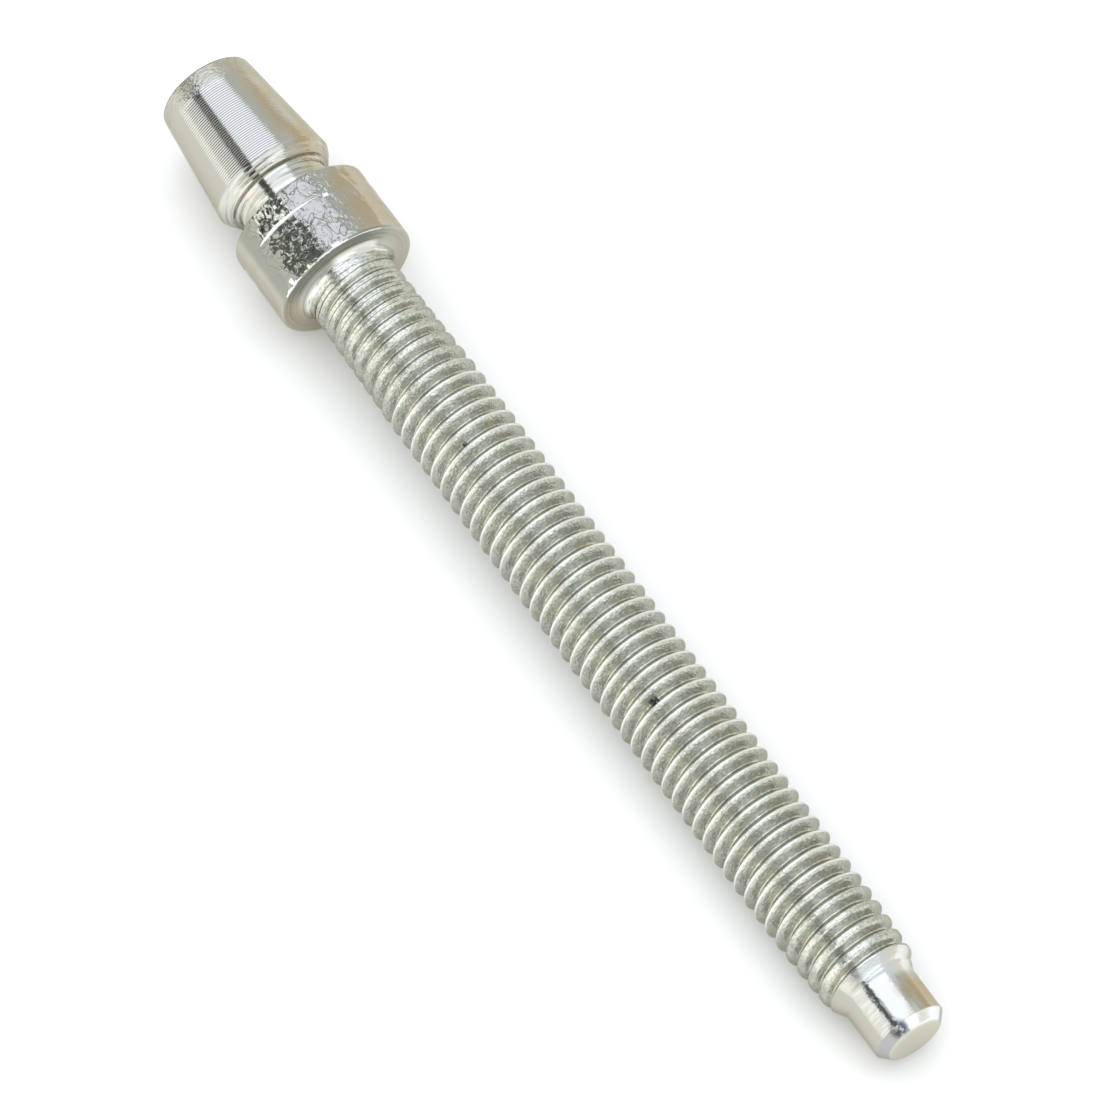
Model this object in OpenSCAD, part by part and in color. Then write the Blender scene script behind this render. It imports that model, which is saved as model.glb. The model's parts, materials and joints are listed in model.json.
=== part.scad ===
// Headlight adjustment screw: tapered snap-in head, neck, plain round collar, rolled
// right-hand metric thread and dog point, all turned and rolled in one piece of steel.
// The screw is drawn along +Z from the free end of its head, then laid down on its collar
// rim and its thread, with the dog point towards +X. Millimetres.

/* [Snap head] */
// Diameter of the head at its free end
head_end_d = 5.85; // [4.8:0.05:7.1]
// Diameter of the head at its wide rim
head_rim_d = 7.35; // [6.1:0.05:8.85]
// Length of the taper, from the free end to the wide rim
head_len = 7.15; // [4:0.05:10]
// Rounding of the free end's edge
head_end_round = 0.2; // [0.05:0.05:0.6]
// Width of the plain band at the wide rim
head_rim_w = 0.15; // [0.05:0.05:0.5]
// Length of the back taper, from the wide rim to the shoulder
head_back_len = 0.8; // [0.4:0.05:1.4]
// Height of the shoulder behind the back taper, as a share of the step from neck to rim
head_shoulder = 0.46; // [0.2:0.02:0.8]

/* [Neck] */
// Diameter of the neck
neck_d = 5.7; // [4.5:0.05:6.85]
// Length of the neck, from the head's shoulder to the collar
neck_len = 2; // [1.5:0.05:4]
// Fillet between the head's shoulder and the neck
neck_fillet = 0.18; // [0.06:0.02:0.28]
// Depth of the ring groove round the neck
neck_groove = 0.05; // [0.02:0.01:0.12]
// Distance of the ring groove from the head's shoulder
neck_groove_pos = 0.66; // [0.45:0.01:1.2]

/* [Collar] */
// Diameter of the collar
collar_d = 8.6; // [7.1:0.05:11]
// Length of the collar
collar_len = 4.9; // [2:0.05:8]
// Chamfer of the collar's edges
collar_edge = 0.12; // [0.05:0.01:0.3]
// Fillet between the collar and the shank
collar_fillet = 0.85; // [0.3:0.05:1.2]

/* [Thread] */
// Outside diameter of the thread
thread_d = 5.93; // [4.9:0.01:7.2]
// Pitch of the thread
thread_pitch = 1; // [0.8:0.05:1.25]
// Length of the shank, from the collar to the dog point
shank_len = 52.85; // [20:0.05:65]
// How much smaller the crests are where the thread begins, on the diameter
start_short = 0.46; // [0.1:0.02:0.6]
// Turns over which the crests fill out to the full diameter
fill_turns = 9; // [2:1:14]
// How much smaller the last crest is, on the diameter
end_short = 0.43; // [0.1:0.01:0.6]
// Turns over which the crests shrink towards the dog point
end_turns = 4; // [1:1:6]
// Half angle of the lead-in chamfer
lead_angle = 31; // [20:1:45]
// Turn of the thread round the axis, in steps of fifteen degrees
thread_clock = 300; // [0:15:345]

/* [Dog point] */
// How much smaller the dog point is than the thread's root, on the diameter
dog_relief = 0.35; // [0.1:0.05:1]
// Length of the dog point
dog_len = 3.3; // [1.5:0.05:8]
// Chamfer of the dog point, along the axis
dog_chamfer = 0.58; // [0.2:0.02:0.8]
// Half angle of the dog point's chamfer
dog_angle = 42; // [30:1:50]
// Rounding between the chamfer and the end face
dog_round = 0.3; // [0.1:0.05:0.5]

/* [Hidden] */

steel = [0.75, 0.75, 0.71];

// Stations along the axis
z_rim = head_len;
z_shoulder = z_rim + head_back_len;
z_collar = z_shoulder + neck_len;
z_seat = z_collar + collar_len;
z_dog = z_seat + shank_len;
z_tip = z_dog + dog_len;

// Radii that follow from the thread
crest_full = thread_d / 2;
root_full = crest_full - 0.6134 * thread_pitch;
shank_r = (thread_d - start_short) / 2;
last_crest = (thread_d - end_short) / 2;
dog_r = root_full - dog_relief / 2;
fillet_r = min(collar_fillet, collar_d / 2 - collar_edge - shank_r - 0.05);
shoulder_h = head_shoulder * (head_rim_d - neck_d) / 2;

// Thread form: sixty-degree flanks, a crest an eighth of the pitch wide, a narrow flat root
flank = tan(30);
z_thread = z_seat + fillet_r;
z_first = z_thread + thread_pitch / 2;
z_full = z_thread + fill_turns * thread_pitch;
z_end = z_dog - 0.04;
turns = floor((z_end - z_first) / thread_pitch - 0.45);
segs = min(24, floor(1560 / turns));
end_r = dog_r / cos(180 / segs) + 0.002;
z_lead = z_end - (last_crest - end_r) / tan(lead_angle);
z_fade = z_lead - end_turns * thread_pitch;

// Radius of the crests and of the root at height z
function mix(a, b, t) = a + (b - a) * max(0, min(1, t));
function crest_r(z) =
    z > z_lead ? max(end_r, last_crest - (z - z_lead) * tan(lead_angle))
  : z > z_fade ? mix(crest_full, last_crest, (z - z_fade) / (z_lead - z_fade))
  :              mix(shank_r - 0.01, crest_full, (z - z_thread) / (z_full - z_thread));
function root_r(z) = min(crest_r(z) - 0.001,
    mix(shank_r - 0.02, root_full, 0.25 + (z - z_first) / thread_pitch));

// Half widths of a ridge at its crest and at its foot
function crest_w(z) = thread_pitch / 16 + (crest_full - max(root_full, crest_r(z))) * flank;
function ridge_w(z) = crest_w(z) + max(0.04 * thread_pitch, crest_r(z) - root_r(z)) * flank;

// The four corners of a ridge at angle step j of turn k, each a height and a radius
function corner(j, k, m) = let (
    c = z_first + thread_pitch * (k + j / segs),
    z = c + [-ridge_w(c), -crest_w(c), crest_w(c), ridge_w(c)][m])
    [z, m == 0 || m == 3 ? root_r(z) : crest_r(z)];

// Where the last groove runs out on the lead-in chamfer at angle step j
z_out = z_first + thread_pitch * turns;
function run_out(j) = let (
    z = mix(z_out - crest_w(z_out), z_end - 0.02 * thread_pitch, j / (segs - 1))) [z, crest_r(z)];

function at(j, p) = let (a = 360 * j / segs + thread_clock)
    [p[1] * cos(a), p[1] * sin(a), p[0]];

// Threaded rod as one closed skin, with one column of corners for each angle step
module threaded_rod() {
    n = 4 * turns + 5;
    points = [for (j = [0 : segs - 1]) each concat(
        [at(j, [z_thread - thread_pitch / 2, shank_r - 0.02])],
        [for (m = [2, 3]) at(j, corner(j, -1, m))],
        [for (k = [0 : turns - 1], m = [0 : 3]) at(j, corner(j, k, m))],
        [at(j, run_out(j)), at(j, [z_end, end_r])])];
    body = [for (j = [0 : segs - 2], i = [0 : n - 2]) each let (a = j * n + i, b = a + n)
        [[a, a + 1, b + 1], [a, b + 1, b]]];
    // The last column meets the first one a turn further up
    e = (segs - 1) * n;
    seam = concat(
        [for (i = [0 : 4]) [e, i + 1, i]],
        [[e, e + 1, 5]],
        [for (i = [1 : n - 8]) each [[e + i, e + i + 1, i + 5], [e + i, i + 5, i + 4]]],
        [[e + n - 7, e + n - 6, n - 3], [e + n - 6, n - 2, n - 3],
         [e + n - 6, e + n - 5, n - 2], [e + n - 5, n - 1, n - 2]],
        [for (i = [n - 5 : n - 2]) [e + i, e + i + 1, n - 1]]);
    low = [[for (j = [0 : segs - 1]) j * n]];
    high = [[for (j = [segs - 1 : -1 : 0]) j * n + n - 1]];
    polyhedron(points = points, faces = concat(body, seam, low, high), convexity = 20);
}

// Head, neck and collar as one lathe profile, with the fillet to the shank
module turned_head() {
    e = head_end_round;
    f = min(neck_fillet, 0.9 * shoulder_h);
    g = neck_groove;
    c = collar_edge;
    q = fillet_r;
    zg = z_shoulder + neck_groove_pos;
    rotate_extrude($fn = 72) polygon(concat(
        [[0, 0]],
        [for (a = [0 : 15 : 75]) [head_end_d / 2 - e + e * sin(a), e - e * cos(a)]],
        [[head_rim_d / 2, z_rim - head_rim_w], [head_rim_d / 2, z_rim],
         [neck_d / 2 + shoulder_h, z_shoulder]],
        [for (a = [0 : 22.5 : 90])
            [neck_d / 2 + f - f * sin(a), z_shoulder + f - f * cos(a)]],
        [[neck_d / 2, zg - g], [neck_d / 2 - g, zg], [neck_d / 2, zg + g],
         [neck_d / 2, z_collar], [collar_d / 2 - c, z_collar], [collar_d / 2, z_collar + c],
         [collar_d / 2, z_seat - c], [collar_d / 2 - c, z_seat]],
        [for (a = [0 : 15 : 90]) [shank_r + q - q * sin(a), z_seat + q - q * cos(a)]],
        [[0, z_thread]]));
}

// Plain dog point: cylinder, chamfer and a rounded edge to the flat end
module dog_point() {
    w = dog_chamfer * tan(dog_angle);
    h = dog_round * tan(45 - dog_angle / 2);
    rotate_extrude($fn = 72) polygon(concat(
        [[0, z_end - 1], [dog_r, z_end - 1], [dog_r, z_tip - dog_chamfer]],
        [for (a = [dog_angle : (90 - dog_angle) / 4 : 90.01])
            [dog_r - w - h + dog_round * cos(a), z_tip - dog_round + dog_round * sin(a)]],
        [[0, z_tip]]));
}

// Lying pose. The floor touches the thread's last full crest and the widest rim before it,
// and a turn about its own axis keeps the seams of the turned faces off the floor
rest_turn = 5.5;
function slope(r, z) = atan((r - crest_full) / (z_fade - z));
edge_z = z_seat - collar_edge;
rest_tilt = max(slope(collar_d / 2, edge_z), slope(head_rim_d / 2, z_rim));
rest_h = crest_full * cos(rest_tilt) + z_fade * sin(rest_tilt);

module adjustment_screw() {
    color(steel)
    translate([-z_tip / 2 * cos(rest_tilt), 0, rest_h])
        rotate([0, 90 + rest_tilt, 0]) rotate([0, 0, rest_turn])
        union() {
            turned_head();
            threaded_rod();
            dog_point();
        }
}

adjustment_screw();
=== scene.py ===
import json
import math

import bmesh
import bpy
from mathutils import Matrix, Vector, noise


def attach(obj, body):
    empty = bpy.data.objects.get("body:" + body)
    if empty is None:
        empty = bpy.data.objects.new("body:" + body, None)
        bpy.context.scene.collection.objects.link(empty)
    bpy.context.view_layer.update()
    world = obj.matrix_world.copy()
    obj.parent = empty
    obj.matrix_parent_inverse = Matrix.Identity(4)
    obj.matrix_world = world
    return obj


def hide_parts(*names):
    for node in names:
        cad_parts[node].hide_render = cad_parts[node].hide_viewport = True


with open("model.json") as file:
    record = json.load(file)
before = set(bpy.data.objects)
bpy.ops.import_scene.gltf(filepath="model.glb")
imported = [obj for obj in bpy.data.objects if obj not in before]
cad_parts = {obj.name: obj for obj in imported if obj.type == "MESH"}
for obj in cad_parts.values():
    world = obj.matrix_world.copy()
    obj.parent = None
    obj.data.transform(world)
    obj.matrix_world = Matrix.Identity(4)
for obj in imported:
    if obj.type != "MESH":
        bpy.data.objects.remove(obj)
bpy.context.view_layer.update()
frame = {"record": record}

# ------------------------------------------------------------------ where the screw lies
# The screw lies on its collar and its thread, so its axis dips a little towards the dog
# point. It is drawn upright in millimetres, with Z running from the free end of the head
# along the axis, and laid into this place at the end.

MM = 0.001
JOURNAL_Z = 12.4

journal = next(m for m in frame["record"]["mounts"] if m["name"] == "collar_journal")
axis = Vector(journal["axis"]).normalized()
down = Vector((0, 1, 0)).cross(axis).normalized()
free_end = Vector(journal["pos_m"]) - axis * JOURNAL_Z * MM
upright = Matrix((down, (0, 1, 0), axis))
lying = Matrix.Translation(free_end) @ upright.transposed().to_4x4() @ Matrix.Scale(MM, 4)

# -------------------------------------------------------------- turned head and collar
# The snap head, its neck and the collar are turned on a lathe from the same bar of steel as
# the shank, and then zinc plated. The head widens towards a narrow rim, which snaps into
# the lamp's socket. The collar is dented, and its plating is scratched and tarnished.

HEAD_END_R, HEAD_EDGE = 2.925, 0.2
RIM_R, RIM_Z, RIM_W, RIM_FLARE = 3.675, 7.15, 0.15, 0.015
STEPS = ((3.60, 7.25), (3.57, 7.42), (3.41, 7.55), (3.39, 7.69), (3.26, 7.81))
SHOULDER_R, SHOULDER_Z, NECK_R, NECK_FILLET = 3.23, 7.95, 2.85, 0.18
RING_Z, RING_DEPTH, RING_HALF = 8.61, 0.05, 0.07
COLLAR_R, COLLAR_Z, SEAT_Z, COLLAR_EDGE = 4.3, 9.95, 14.85, 0.12
SHANK_R, FILLET = 2.735, 0.85
FILLET_CUT = 15.2
LATHE_STEPS = 160
TOUCHING = 1e-3


def rounded(corners):
    """Points along an outline of (radius, height, rounding, spacing) corners."""
    points = [(Vector(corners[0][:2]), 1)]
    for before, (r, z, size, step), after in zip(corners, corners[1:], corners[2:]):
        here = Vector((r, z))
        back = (Vector(before[:2]) - here).normalized()
        on = (Vector(after[:2]) - here).normalized()
        half = back.angle(on) / 2
        centre = here + (back + on).normalized() * size / math.sin(half)
        start = here + back * size / math.tan(half) - centre
        sweep = start.angle_signed(here + on * size / math.tan(half) - centre)
        count = max(3, math.ceil(abs(sweep) * size / step))
        points += [(centre + Matrix.Rotation(-sweep * k / count, 2) @ start, step)
                   for k in range(count + 1)]
    points.append((Vector(corners[-1][:2]), corners[-1][3]))
    spaced = [points[0][0]]
    for p, step in points[1:]:
        parts = max(1, math.ceil((p - spaced[-1]).length / step - 0.01))
        last = spaced[-1]
        spaced += [last.lerp(p, (k + 1) / parts) for k in range(parts)]
    return spaced


def lathe(mesh, corners):
    """Turns an outline about the axis, with its ends on the axis closed."""
    ring = [mesh.verts.new((p.x, 0, p.y)) for p in rounded(corners)]
    edges = [mesh.edges.new(pair) for pair in zip(ring, ring[1:])]
    bmesh.ops.spin(mesh, geom=ring + edges, cent=(0, 0, 0), axis=(0, 0, 1),
                   angle=math.tau, steps=LATHE_STEPS, use_merge=True)
    poles = [v for v in mesh.verts if math.hypot(v.co.x, v.co.y) < 1e-5]
    bmesh.ops.remove_doubles(mesh, verts=poles, dist=TOUCHING)


def rims(mesh, z):
    """The open edges of a mesh at height z."""
    return [e for e in mesh.edges if e.is_boundary and abs(e.verts[0].co.z - z) < TOUCHING]


def cut_across(mesh, z, drop=0):
    """Cuts a mesh at height z, and drops what lies above it (1) or below it (-1)."""
    bmesh.ops.bisect_plane(mesh, geom=mesh.verts[:] + mesh.edges[:] + mesh.faces[:],
                           plane_co=(0, 0, z), plane_no=(0, 0, drop or 1), clear_outer=drop != 0)


screw = bmesh.new()
lathe(screw, [
    (0, 0, 0, 1), (HEAD_END_R, 0, HEAD_EDGE, 0.8), (RIM_R, RIM_Z - RIM_W, 0.04, 0.15),
    (RIM_R + RIM_FLARE, RIM_Z, 0.03, 0.08),
    *((r, z, 0.05, 0.05) for r, z in STEPS),
    (SHOULDER_R, SHOULDER_Z, 0.05, 0.06), (NECK_R, SHOULDER_Z, NECK_FILLET, 0.08),
    (NECK_R, RING_Z - RING_HALF, 0.03, 0.15), (NECK_R - RING_DEPTH, RING_Z, 0.03, 0.05),
    (NECK_R, RING_Z + RING_HALF, 0.03, 0.05),
    (NECK_R, COLLAR_Z, 0.06, 0.2), (COLLAR_R, COLLAR_Z, COLLAR_EDGE, 0.3),
    (COLLAR_R, SEAT_Z, COLLAR_EDGE, 0.11), (SHANK_R, SEAT_Z, FILLET, 0.1),
    (SHANK_R, SEAT_Z + FILLET + 0.1, 0, 0.1)])
cut_across(screw, FILLET_CUT, 1)

SCRATCH_Z, SCRATCH_W, SCRATCH_DEPTH = 11.57, 0.12, 0.045
SCRATCH_FROM, SCRATCH_TO = math.radians(171), math.radians(239)
SCRATCH_ROWS = (-1.6, -1, -0.5, 0, 0.5, 1, 1.6)

for row in SCRATCH_ROWS:
    cut_across(screw, SCRATCH_Z + row * SCRATCH_W)

EDGE_TINT = (0.74, 0.72, 0.66, 1)


def plating(name, colour, roughness):
    """A zinc finish whose patterns are laid out in the upright screw's millimetres."""
    finish = bpy.data.materials.new(name)
    finish.use_nodes = True
    tree = finish.node_tree
    shader = tree.nodes["Principled BSDF"]
    shader.inputs["Metallic"].default_value = 1
    shader.inputs["Base Color"].default_value = (*colour, 1)
    shader.inputs["Specular Tint"].default_value = EDGE_TINT
    shader.inputs["Roughness"].default_value = roughness
    place = tree.nodes.new("ShaderNodeMapping")
    place.inputs["Rotation"].default_value = upright.to_euler()
    place.inputs["Scale"].default_value = (1 / MM, 1 / MM, 1 / MM)
    place.inputs["Location"].default_value = upright @ free_end / -MM
    tree.links.new(tree.nodes.new("ShaderNodeTexCoord").outputs["Object"],
                   place.inputs["Vector"])
    return finish, tree, shader, place.outputs["Vector"]


def mottle(tree, place, stretch, scale, detail, swirl=0):
    """Noise in grains of 1 / scale millimetres, squeezed or drawn out along the axes."""
    drawn = tree.nodes.new("ShaderNodeMapping")
    drawn.inputs["Scale"].default_value = stretch
    tree.links.new(place, drawn.inputs["Vector"])
    grain = tree.nodes.new("ShaderNodeTexNoise")
    grain.inputs["Scale"].default_value = scale
    grain.inputs["Detail"].default_value = detail
    grain.inputs["Distortion"].default_value = swirl
    tree.links.new(drawn.outputs["Vector"], grain.inputs["Vector"])
    return grain.outputs["Fac"]


def rise(tree, value, low, high):
    """Goes smoothly from 0 at low to 1 at high."""
    step = tree.nodes.new("ShaderNodeMapRange")
    step.interpolation_type = "SMOOTHSTEP"
    step.inputs["From Min"].default_value = low
    step.inputs["From Max"].default_value = high
    tree.links.new(value, step.inputs["Value"])
    return step.outputs["Result"]


def both(tree, a, b):
    """The product of two masks."""
    times = tree.nodes.new("ShaderNodeMath")
    times.operation = "MULTIPLY"
    tree.links.new(a, times.inputs[0])
    tree.links.new(b, times.inputs[1])
    return times.outputs["Value"]


def along(tree, place, direction):
    """Distance along a direction of the upright screw."""
    dot = tree.nodes.new("ShaderNodeVectorMath")
    dot.operation = "DOT_PRODUCT"
    dot.inputs[1].default_value = direction
    tree.links.new(place, dot.inputs[0])
    return dot.outputs["Value"]


def outward(tree, place):
    """Radius of a point from the axis, and the direction that it lies in."""
    flat = tree.nodes.new("ShaderNodeVectorMath")
    flat.operation = "MULTIPLY"
    flat.inputs[1].default_value = (1, 1, 0)
    tree.links.new(place, flat.inputs[0])
    length = tree.nodes.new("ShaderNodeVectorMath")
    length.operation = "LENGTH"
    tree.links.new(flat.outputs["Vector"], length.inputs[0])
    unit = tree.nodes.new("ShaderNodeVectorMath")
    unit.operation = "NORMALIZE"
    tree.links.new(flat.outputs["Vector"], unit.inputs[0])
    return length.outputs["Value"], unit.outputs["Vector"]


def side(tree, place, degrees, low, high):
    """Masks one side of the screw, by the cosine of the angle away from its middle."""
    turn = math.radians(degrees)
    middle = (math.cos(turn), math.sin(turn), 0)
    return rise(tree, along(tree, outward(tree, place)[1], middle), low, high)


def creases(tree, pattern, width):
    """Thin winding lines that follow the middle height of a pattern."""
    off = tree.nodes.new("ShaderNodeMath")
    off.operation = "SUBTRACT"
    off.inputs[1].default_value = 0.5
    tree.links.new(pattern, off.inputs[0])
    apart = tree.nodes.new("ShaderNodeMath")
    apart.operation = "ABSOLUTE"
    tree.links.new(off.outputs["Value"], apart.inputs[0])
    return rise(tree, apart.outputs["Value"], width, 0)


def relief(tree, height, depth, under=None):
    """Raises a pattern by depth millimetres over the relief under it."""
    bump = tree.nodes.new("ShaderNodeBump")
    bump.inputs["Distance"].default_value = depth * MM
    tree.links.new(height, bump.inputs["Height"])
    if under:
        tree.links.new(under, bump.inputs["Normal"])
    return bump.outputs["Normal"]


def tint(tree, mask, plain, stained):
    """A colour that goes from plain to stained, each a colour or another tint."""
    mix = tree.nodes.new("ShaderNodeMix")
    mix.data_type = "RGBA"
    for socket, colour in (("A", plain), ("B", stained)):
        if isinstance(colour, tuple):
            mix.inputs[socket].default_value = (*colour, 1)
        else:
            tree.links.new(colour, mix.inputs[socket])
    tree.links.new(mask, mix.inputs["Factor"])
    return mix.outputs["Result"]


ZINC, WARM_STAIN_AND_REFLECTION_ZINC, DULL_ZINC = (0.50, 0.48, 0.41), (0.47, 0.40, 0.29), (0.36, 0.37, 0.34)
REFLECTED_DARK_LINE_ZINC, REFLECTED_LIGHT_LINE_ZINC, RING_ZINC = (0.39, 0.38, 0.35), (0.71, 0.70, 0.66), (0.66, 0.65, 0.60)
HEAD_END_SHADE_ZINC = (0.20, 0.20, 0.18)
TURNING_FEED, TURNING_DEPTH = 0.152, 0.008
WAVE_REPEAT = 0.314  # how far apart a wave texture's bands lie at a Scale of 1
PRESSED_Z, LINED_Z = 0.9, 1.5
FAR_UPPER_SIDE = (-0.5, 0.87, 0)
REFLECTION_BAND_SIDE = 204

turned_zinc, tree, shader, place = plating("turned_zinc", ZINC, 0.11)
height = along(tree, place, (0, 0, 1))
upper = along(tree, place, FAR_UPPER_SIDE)
lines = tree.nodes.new("ShaderNodeTexWave")
lines.bands_direction = "Z"
lines.inputs["Scale"].default_value = WAVE_REPEAT / TURNING_FEED
lines.inputs["Distortion"].default_value = 0.25
lines.inputs["Detail Scale"].default_value = 0.6
tree.links.new(place, lines.inputs["Vector"])
before_rim = rise(tree, height, RIM_Z + 0.1, RIM_Z - 0.05)
behind_rim = rise(tree, height, RIM_Z - 0.05, RIM_Z + 0.1)
lined = both(tree, rise(tree, height, PRESSED_Z, LINED_Z), before_rim)
cut = both(tree, both(tree, lines.outputs["Fac"], lined), rise(tree, upper, 3.1, 1.8))
satin = both(tree, mottle(tree, place, (1, 1, 2.5), 3, 3), rise(tree, upper, 1.9, 2.5))
pressed = both(tree, mottle(tree, place, (1, 1, 2.2), 3.2, 3),
               rise(tree, height, LINED_Z + 0.2, PRESSED_Z))
rings = mottle(tree, place, (0.25, 0.25, 3), 1.7, 2, 0.3)
surface = relief(tree, mottle(tree, place, (1, 1, 1.6), 7, 3), 0.003)
surface = relief(tree, satin, 0.03, surface)
surface = relief(tree, pressed, 0.09, surface)
surface = relief(tree, both(tree, behind_rim, rings), 0.05, surface)
tree.links.new(relief(tree, cut, TURNING_DEPTH, surface), shader.inputs["Normal"])
# Painted reflection: in a band on one side of the lined cone, the turning lines are painted dark
# and light where the overhead light shows in them.
painted_highlight = both(tree, side(tree, place, REFLECTION_BAND_SIDE, 0.83, 0.86), lined)
# Stain and painted reflection: the far upper side is warmer in patches, partly brown staining of
# the plating and partly a painted reflection of the warm, shaded table.
stain_and_reflection = both(tree, rise(tree, upper, 2.2, 3.0),
             rise(tree, mottle(tree, place, (0.6, 0.6, 0.35), 1.1, 2), 0.3, 0.62))
metal = tint(tree, both(tree, behind_rim, rise(tree, rings, 0.4, 0.6)), ZINC, RING_ZINC)
# Painted shade: the free end of the head and its rounded edge are painted dark.
metal = tint(tree, rise(tree, height, HEAD_EDGE - 0.03, HEAD_EDGE - 0.15), metal, HEAD_END_SHADE_ZINC)
metal = tint(tree, painted_highlight, metal, REFLECTED_DARK_LINE_ZINC)
metal = tint(tree, both(tree, painted_highlight, lines.outputs["Fac"]), metal, REFLECTED_LIGHT_LINE_ZINC)
tree.links.new(tint(tree, stain_and_reflection, metal, WARM_STAIN_AND_REFLECTION_ZINC), shader.inputs["Base Color"])

SHADE_BAND_ZINC, GREENISH_ZINC = (0.44, 0.42, 0.395), (0.455, 0.465, 0.43)
SHADED_ZINC, CREASE_SHADE_ZINC = (0.34, 0.34, 0.29), (0.30, 0.30, 0.29)
DENTED_SIDE, SHADE_BAND_SIDE, GREENISH_SIDE, SHADED_SIDE = 200, 190, 163, 236

dented_zinc, tree, shader, place = plating("dented_zinc", ZINC, 0.12)
dented = side(tree, place, DENTED_SIDE, 0.68, 0.86)
dents = both(tree, dented, mottle(tree, place, (1, 1, 1), 1.6, 1, 1.2))
wrinkles = both(tree, dented, mottle(tree, place, (1, 1, 0.8), 2.1, 2, 2.4))
folds = both(tree, dented, creases(tree, mottle(tree, place, (1, 1, 0.8), 1.1, 1, 1.4), 0.022))
surface = relief(tree, mottle(tree, place, (1, 1, 1), 1.2, 1, 1), 0.03)
surface = relief(tree, dents, 0.1, surface)
surface = relief(tree, wrinkles, 0.035, surface)
tree.links.new(relief(tree, folds, -0.03, surface), shader.inputs["Normal"])
# The same warm patches on the collar's far upper side: partly stain, partly painted reflection of
# the shaded table.
stain_and_reflection = both(tree, rise(tree, along(tree, place, FAR_UPPER_SIDE), 2.4, 3.6),
             rise(tree, mottle(tree, place, (1, 1, 1), 0.9, 3), 0.15, 0.7))
metal = tint(tree, side(tree, place, GREENISH_SIDE, 0.92, 0.97), ZINC, GREENISH_ZINC)
# Painted shade: two narrow bands round the collar's side are painted darker.
metal = tint(tree, side(tree, place, SHADE_BAND_SIDE, 0.925, 0.98), metal, SHADE_BAND_ZINC)
metal = tint(tree, side(tree, place, SHADED_SIDE, 0.94, 0.985), metal, SHADED_ZINC)
# Painted shade: the fold lines of the dented side are painted dark.
metal = tint(tree, folds, metal, CREASE_SHADE_ZINC)
tree.links.new(tint(tree, stain_and_reflection, metal, WARM_STAIN_AND_REFLECTION_ZINC), shader.inputs["Base Color"])

DARK_TARNISH, THIN_TARNISH = (0.085, 0.09, 0.075), (0.50, 0.50, 0.44)
RUBBED_TARNISH = (0.80, 0.80, 0.72)
CRUMPLED_Z, PITTED_Z = 11.2, 12.4

tarnish, tree, shader, place = plating("tarnish", DULL_ZINC, 0.16)
height = along(tree, place, (0, 0, 1))
crumpled = both(tree, mottle(tree, place, (1.4, 1.4, 1), 1.5, 1, 2.2),
                rise(tree, height, PITTED_Z, CRUMPLED_Z))
surface = relief(tree, crumpled, 0.35)
surface = relief(tree, mottle(tree, place, (1, 1, 1.3), 2.1, 3, 1.4), 0.19, surface)
tree.links.new(surface, shader.inputs["Normal"])
thin = rise(tree, mottle(tree, place, (1, 1, 1.3), 2.4, 4, 1.4), 0.48, 0.64)
# Rubbed wear shows lighter zinc through the tarnish in patches.
rubbed_and_highlight = both(tree, rise(tree, mottle(tree, place, (1.3, 1.3, 0.8), 1.2, 1, 2), 0.53, 0.59),
              rise(tree, height, PITTED_Z - 0.4, CRUMPLED_Z + 0.2))
metal = tint(tree, thin, DARK_TARNISH, THIN_TARNISH)
tree.links.new(tint(tree, rubbed_and_highlight, metal, RUBBED_TARNISH), shader.inputs["Base Color"])

BARE_ZINC = (0.95, 0.945, 0.92)

bare_scratch, tree, shader, place = plating("bare_scratch", BARE_ZINC, 0.55)
tree.links.new(relief(tree, mottle(tree, place, (1, 1, 2), 3, 2), 0.06), shader.inputs["Normal"])

SEAT_ZINC, UPPER_SEAT_ZINC = (0.55, 0.51, 0.42), (0.53, 0.51, 0.44)
SEAT_SHADE_ZINC, SEAT_SHADE_RING_ZINC = (0.40, 0.41, 0.365), (0.30, 0.31, 0.27)
FILLET_HIGHLIGHT_ZINC = (0.80, 0.79, 0.74)
SEAT_SHADE_SIDE, FILLET_HIGHLIGHT_SIDE = 195, 170

dull_seat, tree, shader, place = plating("dull_seat", DULL_ZINC, 0.42)
out = outward(tree, place)[0]
turning = tree.nodes.new("ShaderNodeTexNoise")
turning.noise_dimensions = "1D"
turning.inputs["Scale"].default_value = 4.5
tree.links.new(out, turning.inputs["W"])
rings = turning.outputs["Fac"]
seat_shade = side(tree, place, SEAT_SHADE_SIDE, 0.35, 0.8)
# Painted highlight: next to the fillet, one side of the seat is painted bright.
rubbed_and_highlight = both(tree, rise(tree, out, SHANK_R + 0.65, SHANK_R + 0.5),
              side(tree, place, FILLET_HIGHLIGHT_SIDE, 0.84, 0.94))
upper = rise(tree, along(tree, place, FAR_UPPER_SIDE), -1.5, 1.5)
metal = tint(tree, upper, SEAT_ZINC, UPPER_SEAT_ZINC)
# Painted shade: the seat's upper side is painted greyer and darker, and its turning rings darker
# still.
metal = tint(tree, seat_shade, metal, SEAT_SHADE_ZINC)
metal = tint(tree, both(tree, seat_shade, rise(tree, rings, 0.5, 0.62)), metal, SEAT_SHADE_RING_ZINC)
tree.links.new(tint(tree, rubbed_and_highlight, metal, FILLET_HIGHLIGHT_ZINC), shader.inputs["Base Color"])
surface = relief(tree, mottle(tree, place, (1, 1, 1), 1.5, 3), 0.03)
tree.links.new(relief(tree, rings, 0.03, surface), shader.inputs["Normal"])

# ------------------------------------------------------------------------ rolled thread
# The thread is rolled between flat dies, right-handed, one millimetre a turn. Near the
# collar the metal doesn't fill the dies, which leaves low crests with a seam along them.
# Towards the dog point the grooves run out on the lead-in chamfer.

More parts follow.
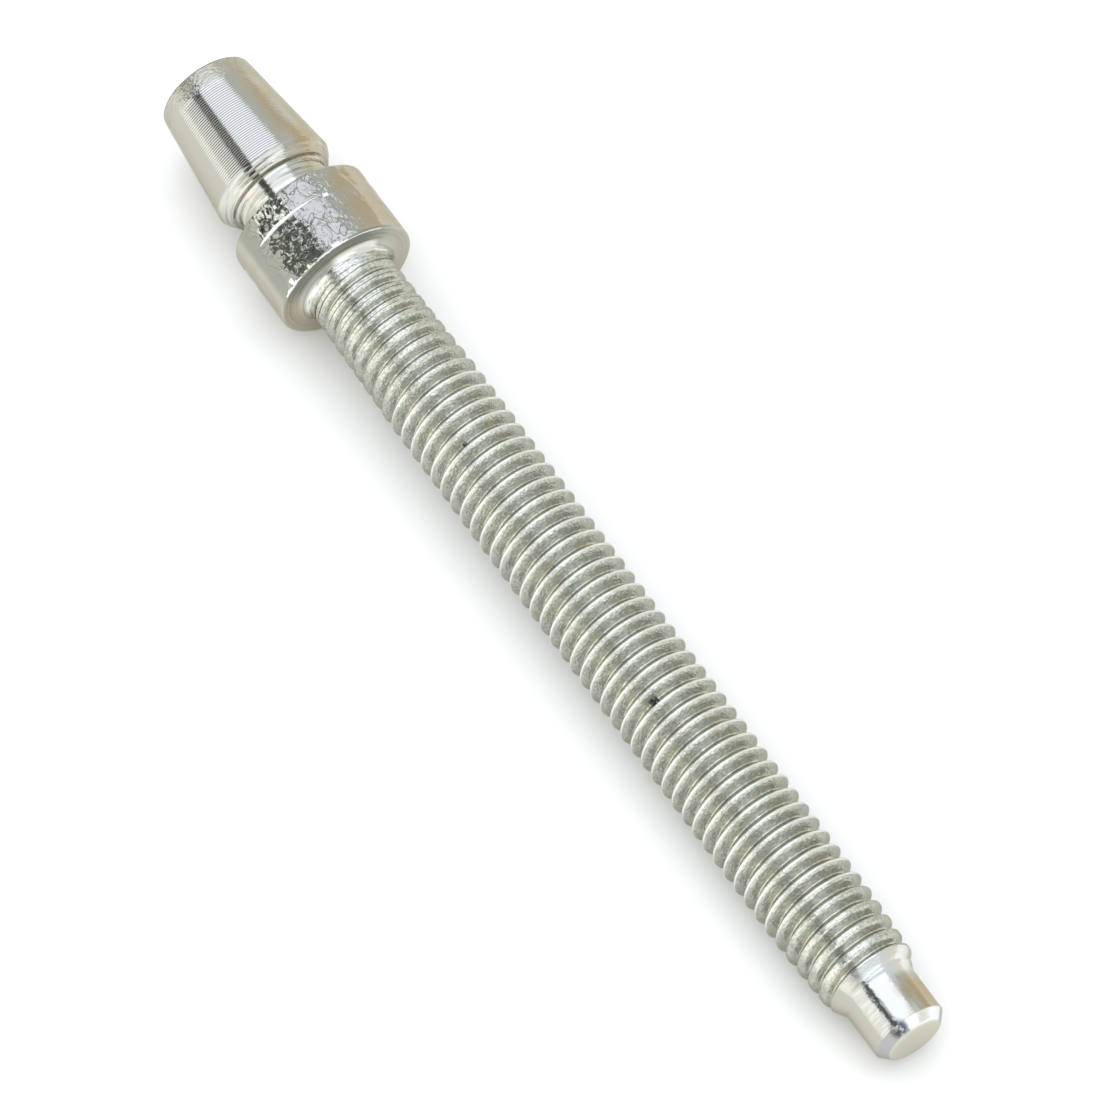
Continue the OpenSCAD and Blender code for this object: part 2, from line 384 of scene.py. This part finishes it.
PITCH, CREST_R, ROOT_R = 1.0, 2.965, 2.35
CREST_Z, CREST_TURN = 16.2, math.radians(307.5)
CREST_ROUND, ROOT_ROUND, DOG_ROUND = 0.16, 0.1, 0.06
SEAM_DEPTH, SEAM_W = 0.12, 0.1
GROOVE_START, GROOVE_DEEP, THREAD_FULL = 15.4, 16.6, 24.7
THREAD_SHRINKS, SHRINK_CURVE = 61.0, 1.5
LEAD_Z, LEAD_R = 66.7, 2.74
LEAD_SLOPE, FLANK_SLOPE = math.tan(math.radians(31)), math.tan(math.radians(30))
DOG_R = 2.1766
STRIP_START, STRIP_END = 15.3, 67.85
TURN_STEPS = 56
ROW_OFFSETS = (0, 0.045, 0.09, 0.135, 0.18, 0.24, 0.33, 0.41, 0.455, 0.5)


def blend_low(a, b, width):
    """The lower of two heights, with the corner between them rounded."""
    near = max(width - abs(a - b), 0) / width
    return min(a, b) - near * near * width / 4


def ease(low, high, x):
    """Rises smoothly from 0 at low to 1 at high."""
    t = min(1, max(0, (x - low) / (high - low)))
    return t * t * (3 - 2 * t)


def bar_r(z):
    """Radius of the crests, and of the fillet and chamfer that they run into."""
    if z < SEAT_Z + FILLET:
        return SHANK_R + FILLET - math.sqrt(FILLET ** 2 - (SEAT_Z + FILLET - z) ** 2)
    if z > LEAD_Z:
        return LEAD_R - (z - LEAD_Z) * LEAD_SLOPE
    fill = min(1, (z - SEAT_Z - FILLET) / (THREAD_FULL - SEAT_Z - FILLET))
    spent = max(0, (z - THREAD_SHRINKS) / (LEAD_Z - THREAD_SHRINKS))
    return SHANK_R + (CREST_R - SHANK_R) * fill - (CREST_R - LEAD_R) * spent ** SHRINK_CURVE


def thread_r(angle, z):
    """Radius of the rolled thread at an angle and a height."""
    turns = (z - CREST_Z) / PITCH - (angle - CREST_TURN) / math.tau
    off = abs((turns + 0.5) % 1 - 0.5) * PITCH
    bar = bar_r(z)
    flank = CREST_R + CREST_ROUND - off / FLANK_SLOPE
    groove = -blend_low(-flank, -ROOT_R, ROOT_ROUND)
    short = ease(SEAT_Z + FILLET, THREAD_FULL, z)
    seam = SEAM_DEPTH * (1 - short) * math.exp(-(off / SEAM_W) ** 2)
    deep = ease(GROOVE_START, GROOVE_DEEP, z)
    rolled = bar + deep * (blend_low(bar, groove, CREST_ROUND) - seam - bar)
    return -blend_low(-rolled, -DOG_R, DOG_ROUND)


strip = bmesh.new()
first = CREST_Z - PITCH * (CREST_TURN / math.tau + 1)
offsets = sorted({s * o * PITCH for s in (-1, 1) for o in ROW_OFFSETS})
rows = [strip.verts.new((CREST_R, 0, first + o)) for o in offsets]
rows += [strip.edges.new(pair) for pair in zip(rows, rows[1:])]
bmesh.ops.spin(strip, geom=rows, cent=(0, 0, 0), axis=(0, 0, 1), angle=math.tau,
               steps=TURN_STEPS, dvec=(0, 0, PITCH / TURN_STEPS))
one_turn = strip.verts[:] + strip.edges[:] + strip.faces[:]
for turn in range(1, math.ceil((STRIP_END - first) / PITCH) + 1):
    copy = bmesh.ops.duplicate(strip, geom=one_turn)["geom"]
    bmesh.ops.translate(strip, vec=(0, 0, turn * PITCH),
                        verts=[v for v in copy if isinstance(v, bmesh.types.BMVert)])
bmesh.ops.remove_doubles(strip, verts=strip.verts, dist=TOUCHING)
for end, drop in ((STRIP_START, -1), (STRIP_END, 1)):
    cut_across(strip, end, drop)
for v in strip.verts:
    angle = math.atan2(v.co.y, v.co.x)
    r = thread_r(angle, v.co.z)
    v.co.x, v.co.y = r * math.cos(angle), r * math.sin(angle)

DARK_FLECK, LIGHT_FLECK = (0.53, 0.53, 0.46), (0.77, 0.765, 0.675)
SIDE_SHADE_DARK_FLECK, SIDE_SHADE_LIGHT_FLECK = (0.39, 0.395, 0.345), (0.55, 0.55, 0.48)
CREST_HIGHLIGHT_ZINC, FLANK_SHADE_ZINC, ROOT_GLINT_ZINC = (0.84, 0.84, 0.81), (0.47, 0.48, 0.44), (0.64, 0.60, 0.49)
THREAD_EDGE_TINT = (0.62, 0.62, 0.55, 1)
GRAIN_STARTS, GRAIN_ENDS = (17, 24), (66, 58)
BRIGHT_THREAD_SIDE = 197

rolled_zinc, tree, shader, place = plating("rolled_zinc", ZINC, 0.26)
shader.inputs["Specular Tint"].default_value = THREAD_EDGE_TINT
height = along(tree, place, (0, 0, 1))
out = outward(tree, place)[0]
facing = along(tree, tree.nodes.new("ShaderNodeTexCoord").outputs["Normal"], axis)
# Painted shade: the flanks facing the head, just below the crests, are painted darker.
back = both(tree, rise(tree, out, CREST_R - 0.08, CREST_R - 0.2), rise(tree, facing, -0.3, -0.6))
threaded = rise(tree, height, LEAD_Z + 0.3, LEAD_Z - 0.3)
# Painted glint: patches of the thread's roots are painted cream.
hollow = both(tree, threaded, rise(tree, out, ROOT_R + 0.12, ROOT_R + 0.04))
root_glint = both(tree, hollow, rise(tree, mottle(tree, place, (1, 1, 2), 1.4, 3), 0.46, 0.62))
fleck = rise(tree, mottle(tree, place, (1, 1, 1.6), 5, 4), 0.35, 0.65)
metal = tint(tree, fleck, DARK_FLECK, LIGHT_FLECK)
# Painted shade: away from the thread's lit middle side, its flecks are painted darker.
side_shaded = tint(tree, fleck, SIDE_SHADE_DARK_FLECK, SIDE_SHADE_LIGHT_FLECK)
metal = tint(tree, side(tree, place, BRIGHT_THREAD_SIDE, 0.82, 0.55), metal, side_shaded)
# Painted highlight: the tops of the crests are painted near white.
metal = tint(tree, rise(tree, out, CREST_R - 0.05, CREST_R - 0.01), metal, CREST_HIGHLIGHT_ZINC)
metal = tint(tree, back, metal, FLANK_SHADE_ZINC)
tree.links.new(tint(tree, root_glint, metal, ROOT_GLINT_ZINC), shader.inputs["Base Color"])
grain = mottle(tree, place, (1, 1, 1.5), 7, 4)
grainy = both(tree, rise(tree, height, *GRAIN_STARTS), rise(tree, height, *GRAIN_ENDS))
surface = relief(tree, mottle(tree, place, (0.7, 0.7, 3.2), 1.6, 2), 0.05)
surface = relief(tree, grain, 0.012, surface)
tree.links.new(relief(tree, both(tree, grainy, grain), 0.028, surface), shader.inputs["Normal"])

FILLET_ZINC, FILLET_STREAK_ZINC = (0.45, 0.44, 0.39), (0.84, 0.83, 0.78)
FILLET_RIM_SHADE_ZINC = (0.37, 0.375, 0.335)

smooth_fillet, tree, shader, place = plating("smooth_fillet", ZINC, 0.15)
streaks = mottle(tree, place, (0.5, 0.5, 4), 1.8, 3)
tree.links.new(relief(tree, streaks, 0.05), shader.inputs["Normal"])
# Painted highlight: on one side, the fillet's outer part is painted bright.
rubbed_and_highlight = side(tree, place, FILLET_HIGHLIGHT_SIDE, 0.84, 0.94)
outer = rise(tree, outward(tree, place)[0], SHANK_R + 0.12, SHANK_R + 0.3)
metal = tint(tree, rise(tree, streaks, 0.38, 0.55), FILLET_ZINC, FILLET_STREAK_ZINC)
# Painted shade: the fillet's outer part, in the corner against the seat, is painted darker except
# on its highlight side.
metal = tint(tree, outer, metal, tint(tree, rubbed_and_highlight, FILLET_RIM_SHADE_ZINC, FILLET_HIGHLIGHT_ZINC))
tree.links.new(metal, shader.inputs["Base Color"])

# ---------------------------------------------------------------------------- dog point
# The dog point is the bar's own plain end, turned below the thread's root and chamfered,
# and it was left a little uneven. Its far upper side is brown in patches, partly stained
# plating and partly a painted reflection of the warm, shaded table. One spot of the chamfer
# is dark.

DOG_Z, DOG_CHAMFER_Z, TIP_Z = 67.95, 70.42, 71.0
TIP_FACE_R, TIP_EDGE = 1.654, 0.3
SPOT = (-1.8, -0.9, 70.65)

lathe(screw, [
    (DOG_R, DOG_Z, 0, 1), (DOG_R, DOG_CHAMFER_Z, 0.1, 0.15),
    (TIP_FACE_R, TIP_Z, TIP_EDGE, 0.1), (0, TIP_Z, 0, 0.4)])

POINT_HIGHLIGHT_ZINC, HIGHLIGHT_TICK_ZINC, BROWN_ZINC = (0.63, 0.62, 0.565), (0.54, 0.54, 0.49), (0.47, 0.38, 0.25)
CONE_HIGHLIGHT_ZINC, RIM_ZINC, RIM_HIGHLIGHT_ZINC = (0.74, 0.74, 0.72), (0.42, 0.43, 0.42), (0.84, 0.85, 0.86)
TIP_ZINC, SPOT_ZINC = (0.66, 0.64, 0.56), (0.10, 0.11, 0.15)
POINT_HIGHLIGHT_SIDE, BROWN_SIDE, CONE_HIGHLIGHT_SIDE, RIM_HIGHLIGHT_SIDE = 200, 120, 160, 155

worn_point, tree, shader, place = plating("worn_point", ZINC, 0.14)
height = along(tree, place, (0, 0, 1))
surface = relief(tree, mottle(tree, place, (1, 1, 0.3), 2.2, 2), 0.012)
surface = relief(tree, mottle(tree, place, (1, 1, 5), 3, 3), 0.02, surface)
tree.links.new(surface, shader.inputs["Normal"])
# Painted highlight: one side of the point is painted lighter, with darker ticks along its edge.
painted_highlight = side(tree, place, POINT_HIGHLIGHT_SIDE, 0.80, 0.84)
ticks = both(tree, rise(tree, mottle(tree, place, (0.15, 0.15, 1), 5.5, 1), 0.4, 0.6),
             rise(tree, along(tree, place, FAR_UPPER_SIDE), 0.4, 0))
# Stain and painted reflection: the far upper side of the point is brown in patches, partly stained
# plating and partly a painted reflection of the warm, shaded table.
stain_and_reflection = both(tree, side(tree, place, BROWN_SIDE, 0.3, 0.65),
             rise(tree, height, DOG_Z + 0.15, DOG_Z + 0.85))
stain_and_reflection = both(tree, stain_and_reflection, rise(tree, mottle(tree, place, (1, 1, 0.5), 1.1, 3), 0.3, 0.6))
# Painted highlight: the upper side of the thread's lead-in cone is painted bright.
cone_highlight = both(tree, side(tree, place, CONE_HIGHLIGHT_SIDE, 0.6, 0.86),
            rise(tree, height, DOG_Z + 0.25, DOG_Z - 0.25))
rim = rise(tree, height, DOG_CHAMFER_Z - 0.02, DOG_CHAMFER_Z + 0.06)
# Painted highlight: the chamfer is painted bright on its upper side.
rim_highlight = both(tree, rim, side(tree, place, RIM_HIGHLIGHT_SIDE, 0.72, 0.82))
tip = rise(tree, height, TIP_Z - 0.06, TIP_Z - 0.01)
away = tree.nodes.new("ShaderNodeVectorMath")
away.operation = "DISTANCE"
away.inputs[1].default_value = SPOT
tree.links.new(place, away.inputs[0])
spot = both(tree, rise(tree, away.outputs["Value"], 0.7, 0.25),
            rise(tree, mottle(tree, place, (1, 1, 1.5), 1.6, 3, 0.8), 0.40, 0.5))
metal = tint(tree, painted_highlight, ZINC, POINT_HIGHLIGHT_ZINC)
metal = tint(tree, both(tree, painted_highlight, ticks), metal, HIGHLIGHT_TICK_ZINC)
metal = tint(tree, stain_and_reflection, metal, BROWN_ZINC)
metal = tint(tree, cone_highlight, metal, CONE_HIGHLIGHT_ZINC)
metal = tint(tree, rim, metal, RIM_ZINC)
metal = tint(tree, rim_highlight, metal, RIM_HIGHLIGHT_ZINC)
metal = tint(tree, tip, metal, TIP_ZINC)
tree.links.new(tint(tree, spot, metal, SPOT_ZINC), shader.inputs["Base Color"])

# ------------------------------------------------------------------- one piece of steel
# The three turned and rolled stretches are joined into one skin, and take the dents of
# the collar, the ragged edge of its underside and the nicks that handling left.

strip_mesh = bpy.data.meshes.new("rolled_strip")
strip.to_mesh(strip_mesh)
strip.free()
screw.from_mesh(strip_mesh)
bpy.data.meshes.remove(strip_mesh)
for low, high in ((FILLET_CUT, STRIP_START), (STRIP_END, DOG_Z)):
    bmesh.ops.bridge_loops(screw, edges=rims(screw, low) + rims(screw, high))
bmesh.ops.recalc_face_normals(screw, faces=screw.faces)

# The grains are how many dents, chips or teeth there are to about a millimetre.
DENT_DEPTH, DENT_GRAIN, HIGHEST_DENT = 0.05, 1.6, 0.01
PATCH_DEPTH, PATCH_GRAIN = 0.045, 4.5
PATCH_FROM, PATCH_TO = math.radians(199), math.radians(229)
PATCH_STRAYS, PATCH_EDGE_GRAIN = 0.09, 1.1
CHIP_DEPTH, CHIP_GRAIN, CHIP_SHARE = 0.3, 2.7, 0.25
CHIPPED_FROM, CHIPPED_TO, CHIPS_FADE = math.radians(178), math.radians(247), 0.2
BARE_FROM, BARE_HEIGHT, BARE_WIDTH = math.radians(146), 0.03, 0.17
TORN_LOW, TORN_RISE, TORN_GRAIN = 0.07, 0.35, 3.1
SCRATCH_REACH, SCRATCH_BED, SCRATCH_END = 1.7, 0.9, 0.02
HEAD_END_Z, HEAD_END_DEPTH, HEAD_END_GRAIN = 1.2, 0.012, 2.2
LIP = 0.02
NICKS = (
    (11.61, 171, 0.3, 0.13, 0.05), (14.62, 234, 0.26, 0.22, 0.08), (10.6, 208, 0.2, 0.1, 0.05),
    (47.5, 206, 0.5, 0.3, 0.12), (28.4, 200, 0.35, 0.22, 0.06), (24.0, 212, 0.3, 0.2, 0.05),
    (41.0, 232, 0.3, 0.25, 0.05), (58.3, 196, 0.3, 0.2, 0.05))


def turn_of(co):
    """Angle about the axis, from 0 to a full turn."""
    return math.atan2(co.y, co.x) % math.tau


def in_patch(co):
    """How far inside the tarnished patch of the collar a point lies."""
    turn = turn_of(co) + PATCH_STRAYS * noise.noise(co * PATCH_EDGE_GRAIN)
    return min(turn - PATCH_FROM, PATCH_TO - turn)


def scratch_half(turn):
    """Half the width of the long scratch, which tapers to both ends."""
    share = (turn - SCRATCH_FROM) / (SCRATCH_TO - SCRATCH_FROM)
    if not 0 < share < 1:
        return SCRATCH_W * SCRATCH_END
    wedge = 6.75 * share ** 2 * (1 - share)
    return SCRATCH_W * max(SCRATCH_END, wedge, 0.8 * share * (1 - share))


def chipped(co):
    """How much of the collar's edge has broken away at a point, from 0."""
    near = ease(0.3, 0.06, abs(SEAT_Z - 0.08 - co.z))
    near *= ease(CHIPPED_FROM, CHIPPED_FROM + CHIPS_FADE, turn_of(co))
    near *= ease(CHIPPED_TO, CHIPPED_TO - CHIPS_FADE, turn_of(co))
    edge = Vector((co.x, co.y, 0)).normalized() * COLLAR_R
    return near * max(0, noise.noise(edge * CHIP_GRAIN) + CHIP_SHARE)


def torn(co):
    """How far bare, torn metal reaches up the collar's side, or less than 0 for none."""
    if CHIPPED_FROM < turn_of(co) < CHIPPED_TO:
        return TORN_LOW + TORN_RISE * max(0, noise.noise(co * TORN_GRAIN))
    return BARE_HEIGHT if BARE_FROM < turn_of(co) < CHIPPED_FROM else -1


def nicked(co, r):
    """Depth of the nick at a point, from 0 outside the nicks."""
    depth = 0
    for z, degrees, long, wide, deep in NICKS:
        if abs(co.z - z) < wide:
            round_it = (turn_of(co) - math.radians(degrees)) * r
            away = (round_it / long) ** 2 + ((co.z - z) / wide) ** 2
            depth = max(depth, deep * (1 - away))
    return depth


def pushed_out(v, r, shift):
    """Moves a point of the skin away from the axis, and gives its new radius."""
    share = (r + shift) / r
    v.co.x, v.co.y = v.co.x * share, v.co.y * share
    return r * share


# The rows along the scratch close up to its width before anything is pushed in or out.
for v in screw.verts:
    r, z = math.hypot(v.co.x, v.co.y), v.co.z
    on_collar = r > NECK_R + 0.4 and COLLAR_Z < z < SEAT_Z + LIP
    off, half = z - SCRATCH_Z, scratch_half(turn_of(v.co))
    if on_collar and abs(off) < SCRATCH_REACH * SCRATCH_W:
        v.co.z = SCRATCH_Z + off * half / SCRATCH_W
    if r > ROOT_R + 0.2 and z > COLLAR_Z:
        r = pushed_out(v, r, -nicked(v.co, r))
    if on_collar:
        shift = DENT_DEPTH * noise.noise(v.co * DENT_GRAIN) * ease(0, 0.4, SEAT_Z - z)
        if in_patch(v.co) > -0.05:
            shift += PATCH_DEPTH * noise.noise(v.co * PATCH_GRAIN)
        shift -= CHIP_DEPTH * chipped(v.co)
        shift *= ease(COLLAR_R - 0.65, COLLAR_R - 0.14, r)
        if abs(off) < SCRATCH_BED * SCRATCH_W:
            shift -= SCRATCH_DEPTH * half / SCRATCH_W
        pushed_out(v, r, min(shift, HIGHEST_DENT))
    elif z < HEAD_END_Z and r > HEAD_END_R - 0.1:
        pushed_out(v, r, HEAD_END_DEPTH * (noise.noise(v.co * HEAD_END_GRAIN) - 0.5))

SEAT_OUT_R, SEAT_OUT_Z = SHANK_R + 0.32, SEAT_Z + 0.3
BARE_NICK, DARK_NICK = 0.025, 0.05


def finish_at(co):
    """The finish that the steel has at a point of its skin."""
    r, z, turn = math.hypot(co.x, co.y), co.z, turn_of(co)
    if z < COLLAR_Z:
        return turned_zinc
    if z < SEAT_Z and abs(z - SCRATCH_Z) < scratch_half(turn) and SCRATCH_FROM < turn < SCRATCH_TO:
        return bare_scratch
    if z < SEAT_Z + LIP and r > COLLAR_R - BARE_WIDTH and SEAT_Z - z < torn(co):
        return bare_scratch
    if z < SEAT_Z and nicked(co, r) > BARE_NICK:
        return bare_scratch
    if z < DOG_Z and nicked(co, r) > DARK_NICK:
        return tarnish
    if z < SEAT_Z - 0.1:
        return tarnish if in_patch(co) > 0.06 * noise.noise(co * 4) else dented_zinc
    if z < SEAT_OUT_Z and r > SEAT_OUT_R:
        return dull_seat
    if z < GROOVE_START + 0.1 * noise.noise(co):
        return smooth_fillet
    return rolled_zinc if z < LEAD_Z - 0.05 else worn_point


FINISHES = (turned_zinc, dented_zinc, tarnish, bare_scratch, dull_seat, smooth_fillet,
            rolled_zinc, worn_point)
for f in screw.faces:
    f.smooth = True
    f.material_index = FINISHES.index(finish_at(f.calc_center_median()))

steel_mesh = bpy.data.meshes.new("adjustment_screw_steel")
screw.to_mesh(steel_mesh)
screw.free()
steel_mesh.transform(lying)
steel = bpy.data.objects.new("adjustment_screw_steel", steel_mesh)
bpy.context.scene.collection.objects.link(steel)

for finish in FINISHES:
    steel_mesh.materials.append(finish)

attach(steel, "root")
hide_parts("adjustment_screw")

# -------------------------------------------------------------------------------- floor
# A plain pale table top, matt like paper, which the screw lies on. It is much wider than
# the screw, so that its edge never shows.

FLOOR_W, PAPER = 6, (0.9, 0.88, 0.84, 1)

bpy.ops.mesh.primitive_plane_add(size=FLOOR_W)
floor = bpy.context.object
floor.name = "floor"
paper = bpy.data.materials.new("pale_paper")
paper.use_nodes = True
paper.node_tree.nodes["Principled BSDF"].inputs["Base Color"].default_value = PAPER
paper.node_tree.nodes["Principled BSDF"].inputs["Roughness"].default_value = 0.8
floor.data.materials.append(paper)

# ------------------------------------------------------------------------------- lights
# A light tent: softboxes above the screw, beside it and beyond its dog point, with pale
# walls. Two felt cards only show in the metal, where they make its darker bands.


def softbox(name, centre, turn, width, depth, radiance, colour):
    """A rectangular light of even brightness, turned by three angles in degrees."""
    light = bpy.data.lights.new(name, "AREA")
    light.shape = "RECTANGLE"
    light.size, light.size_y = width, depth
    light.energy = radiance * math.pi * width * depth
    light.color = colour
    lamp = bpy.data.objects.new(name, light)
    lamp.location = centre
    lamp.rotation_euler = [math.radians(angle) for angle in turn]
    bpy.context.scene.collection.objects.link(lamp)
    lamp.visible_camera = False
    return lamp


softbox("overhead", (-0.285, 0, 0.9), (0, 0, 0), 1.41, 1.0, 0.92, (0.80, 0.83, 1.0))
softbox("near_side", (0.0, -0.95, 0.42), (90, 0, 0), 2.0, 0.84, 0.61, (0.90, 0.95, 1.0))
softbox("beyond_point", (1.0, 0.05, 0.45), (90, 0, 90), 0.95, 0.6, 0.75, (0.86, 0.9, 1))
fill = softbox("floor_fill", (0, 0, 1.5), (0, 0, 0), 3, 3, 0.43, (1, 0.98, 0.98))
fill.visible_glossy = False


def card(name, centre, width, depth, tilt, shade):
    """A felt card, tilted by an angle in degrees, with its width along X."""
    bpy.ops.mesh.primitive_plane_add(size=1, location=centre,
                                     rotation=(math.radians(tilt), 0, 0))
    board = bpy.context.object
    board.name = name
    board.data.transform(Matrix.Diagonal((width, depth, 1, 1)))
    board.visible_camera = board.visible_diffuse = board.visible_shadow = False
    felt = bpy.data.materials.new(name)
    felt.use_nodes = True
    felt.node_tree.nodes["Principled BSDF"].inputs["Base Color"].default_value = (*shade, 1)
    felt.node_tree.nodes["Principled BSDF"].inputs["Roughness"].default_value = 1
    board.data.materials.append(felt)


card("black_card", (-0.2, -0.73, 0.9), 2.4, 0.42, 0, (0.07, 0.07, 0.07))
card("grey_card", (-1.45, -0.96, 0.42), 0.9, 0.84, 90, (0.2, 0.2, 0.19))

WALL_FOOT, WALL_TOP, WALL_TOP_AT = (0.92, 0.86, 0.74, 1), (0.76, 0.84, 0.89, 1), 0.75

world = bpy.data.worlds.new("studio")
world.use_nodes = True
tent = world.node_tree
direction = tent.nodes.new("ShaderNodeTexCoord")
split = tent.nodes.new("ShaderNodeSeparateXYZ")
walls = tent.nodes.new("ShaderNodeValToRGB")
walls.color_ramp.elements[0].color = WALL_FOOT
walls.color_ramp.elements[1].color = WALL_TOP
walls.color_ramp.elements[1].position = WALL_TOP_AT
tent.links.new(direction.outputs["Generated"], split.inputs["Vector"])
tent.links.new(split.outputs["Z"], walls.inputs["Fac"])
tent.links.new(walls.outputs["Color"], tent.nodes["Background"].inputs["Color"])
bpy.context.scene.world = world

# ------------------------------------------------------------------------------- camera
# A long lens looks down on the screw from its dog point's side, from nearly six times the
# screw's length away, so that both ends show at nearly the same scale.

SENSOR_W, LENS = 36, 243.4
AIM_Z, AIM_ASIDE, AIM_UP = 35.97, 0.089, 0.066
AZIMUTH, ELEVATION, DISTANCE = math.radians(56.55), math.radians(60.1), 0.414

camera = bpy.data.objects.new("camera", bpy.data.cameras.new("camera"))
camera.data.sensor_width = SENSOR_W
camera.data.lens = LENS
back = Vector((math.sin(AZIMUTH) * math.cos(ELEVATION),
               -math.cos(AZIMUTH) * math.cos(ELEVATION), math.sin(ELEVATION)))
turned = back.to_track_quat("Z", "Y")
aim = free_end + axis * AIM_Z * MM + turned @ Vector((AIM_ASIDE, AIM_UP, 0)) * MM
camera.location = aim + back * DISTANCE
camera.rotation_euler = turned.to_euler()
bpy.context.scene.collection.objects.link(camera)
bpy.context.scene.camera = camera
bpy.context.scene.view_settings.view_transform = "Standard"
